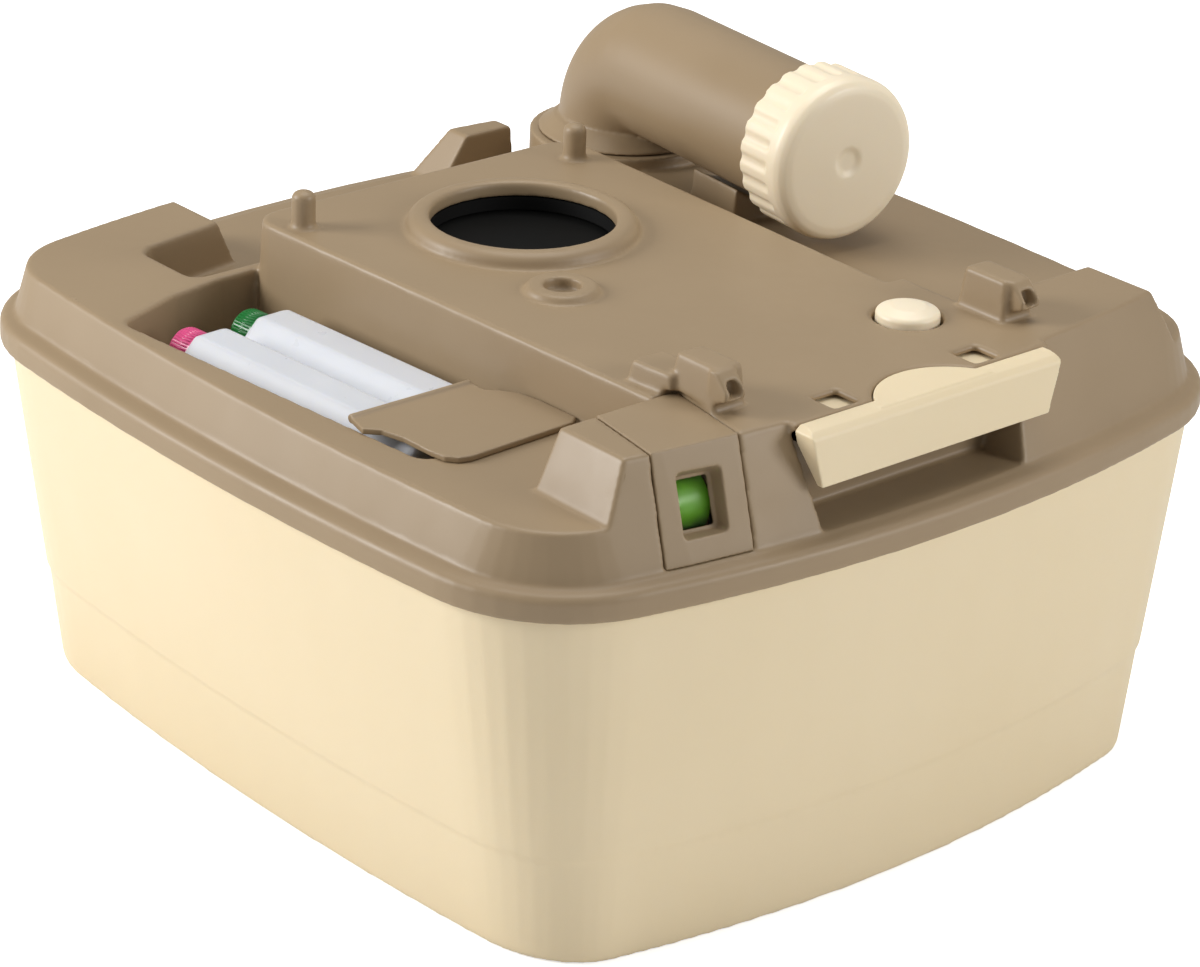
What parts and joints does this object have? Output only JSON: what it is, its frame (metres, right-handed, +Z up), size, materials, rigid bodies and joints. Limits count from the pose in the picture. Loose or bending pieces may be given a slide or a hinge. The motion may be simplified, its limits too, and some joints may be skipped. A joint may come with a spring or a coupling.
{
  "type": "portable toilet waste tank",
  "caption": "Waste-holding tank of a portable toilet: tapered tub, moulded top with sealed inlet, slide valve, swivel spout with cap, vent button, level indicator and bottle bay.",
  "frame": {"origin": "middle of the tank's outline, on the plane its floor rim stands on", "axes": "+Z up, front with the valve handle towards -Y, +X to the right seen from the front"},
  "size_m": [0.383, 0.4, 0.2487],
  "materials": {
    "brown_moulding": "satin moulded polyethylene",
    "cream_moulding": "satin moulded polyethylene",
    "black_moulding": "plain moulded plastic",
    "black_rubber": "moulded sealing rubber",
    "spring_steel": "drawn stainless wire",
    "clear_window": "clear moulded window",
    "green_moulding": "glossy moulded plastic",
    "white_moulding": "plain moulded plastic",
    "white_bottle": "blown white bottle",
    "pink_cap": "glossy moulded cap",
    "green_cap": "glossy moulded cap"
  },
  "bodies": {
    "tank": {"tank_base": "cream_moulding", "top_front": "brown_moulding", "top_left": "brown_moulding", "top_middle": "brown_moulding", "top_right": "brown_moulding", "top_rear": "brown_moulding", "inlet_seal": "black_rubber", "blade_guide": "black_moulding", "vent_spring": "spring_steel", "indicator_bezel": "brown_moulding", "indicator_lens": "clear_window", "pivot_pin": "spring_steel", "bottle_clip": "brown_moulding"},
    "valve": {"valve_blade": "black_moulding", "valve_handle": "cream_moulding"},
    "vent": {"vent_button": "cream_moulding", "vent_stem": "cream_moulding", "vent_washer": "black_rubber"},
    "float": {"indicator_flag": "green_moulding", "float_arm": "white_moulding", "float_bulb": "white_moulding"},
    "spout": {"spout_elbow": "brown_moulding", "spout_ring": "black_moulding", "spout_oring": "black_rubber"},
    "cap_carrier": {"cap_gasket": "black_rubber"},
    "cap": {"spout_cap": "cream_moulding"},
    "bottle_a_body": {"bottle_a": "white_bottle"},
    "bottle_b_body": {"bottle_b": "white_bottle"},
    "cap_a_body": {"bottle_cap_a": "pink_cap"},
    "cap_b_body": {"bottle_cap_b": "green_cap"}
  },
  "joints": [
    {"name": "valve_slide", "type": "slide", "parent": "tank", "child": "valve", "axis": [0, -1, 0], "range_m": [0, 0.082]},
    {"name": "vent_press", "type": "slide", "parent": "tank", "child": "vent", "axis": [0, 0, -1], "range_m": [0, 0.005], "stiffness_N_per_m": 400, "springref_m": -0.004, "deforming": ["vent_spring"]},
    {"name": "float_swing", "type": "hinge", "parent": "tank", "child": "float", "pos_m": [-0.09983, -0.15812, 0.17005], "axis": [0.9848, -0.1736, 0], "range_deg": [0, 22]},
    {"name": "spout_swivel", "type": "hinge", "parent": "tank", "child": "spout", "pos_m": [0.126, 0.1302, 0.18], "axis": [0, 0, 1], "range_deg": [0, 180]},
    {"name": "cap_draw", "type": "slide", "parent": "spout", "child": "cap_carrier", "axis": [-0.1115, -0.9938, 0], "range_m": [0, 0.009]},
    {"name": "cap_turn", "type": "hinge", "parent": "cap_carrier", "child": "cap", "pos_m": [0.10928, -0.01886, 0.2146], "axis": [-0.1115, -0.9938, 0], "range_deg": [0, 540]},
    {"name": "bottle_a_tilt", "type": "hinge", "parent": "tank", "child": "bottle_a_body", "pos_m": [-0.14047, -0.046, 0.1769], "axis": [1, 0, 0], "range_deg": [0, 12]},
    {"name": "bottle_b_tilt", "type": "hinge", "parent": "tank", "child": "bottle_b_body", "pos_m": [-0.10998, -0.046, 0.1769], "axis": [1, 0, 0], "range_deg": [0, 12]},
    {"name": "cap_a_turn", "type": "hinge", "parent": "bottle_a_body", "child": "cap_a_body", "pos_m": [-0.14301, -0.00084, 0.1628], "axis": [-0.0552, 0.9985, 0], "range_deg": [0, 360]},
    {"name": "cap_b_turn", "type": "hinge", "parent": "bottle_b_body", "child": "cap_b_body", "pos_m": [-0.11253, 0.00084, 0.1628], "axis": [-0.0552, 0.9985, 0], "range_deg": [0, 360]}
  ],
  "couplings": [
    {"joint": "cap_turn", "follows": "cap_draw", "rad_per_m": 1047.2}
  ]
}
